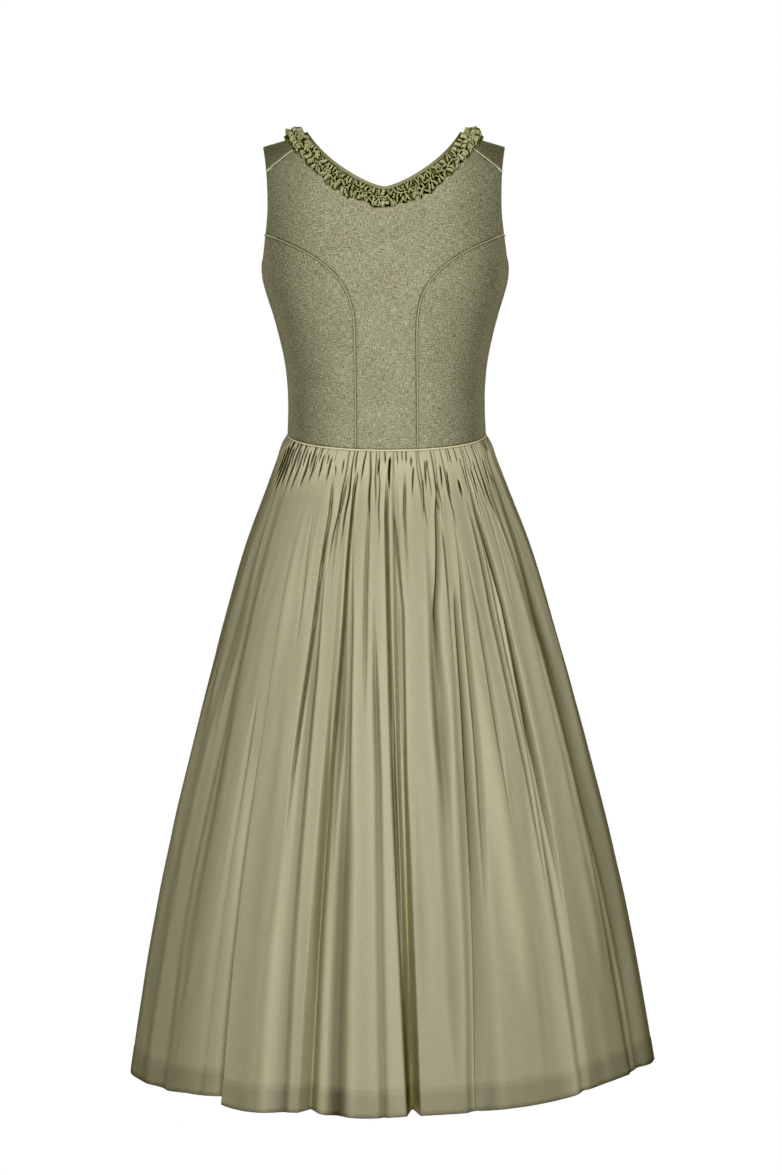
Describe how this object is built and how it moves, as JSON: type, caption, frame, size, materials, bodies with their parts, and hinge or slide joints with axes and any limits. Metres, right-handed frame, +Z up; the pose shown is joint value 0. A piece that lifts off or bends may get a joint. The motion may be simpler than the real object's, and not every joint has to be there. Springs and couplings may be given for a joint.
{
  "type": "dirndl dress",
  "caption": "Sleeveless dirndl filled out as worn: fitted bodice with piped seams and a ruched trim round the neck, over a long gathered skirt.",
  "frame": {"origin": "midway between the tops of the two shoulders, at the height where the straps rest on the wearer", "axes": "+Z up, the back of the dress faces -Y, +X towards the wearer's right"},
  "size_m": [0.6905, 0.6003, 1.2487],
  "materials": {
    "linen": "heathered olive linen, plain weave",
    "trim": "ruched olive satin-cotton ribbon",
    "piping": "corded piping in pale olive cotton",
    "satin": "smooth sage-green satin-cotton with a soft sheen"
  },
  "bodies": {
    "root": {"back_center": "linen", "back_side_left": "linen", "back_side_right": "linen", "front_side_left": "linen", "front_side_right": "linen", "front_center_left": "linen", "front_center_right": "linen", "front_underlap": "linen", "neck_binding": "trim", "neck_trim": "trim", "piping_back_left": "piping", "piping_back_right": "piping", "piping_shoulder_left": "piping", "piping_shoulder_right": "piping", "piping_waist": "piping", "skirt_back_left": "satin", "skirt_back_right": "satin", "skirt_front_left": "satin", "skirt_front_right": "satin"}
  },
  "joints": []
}
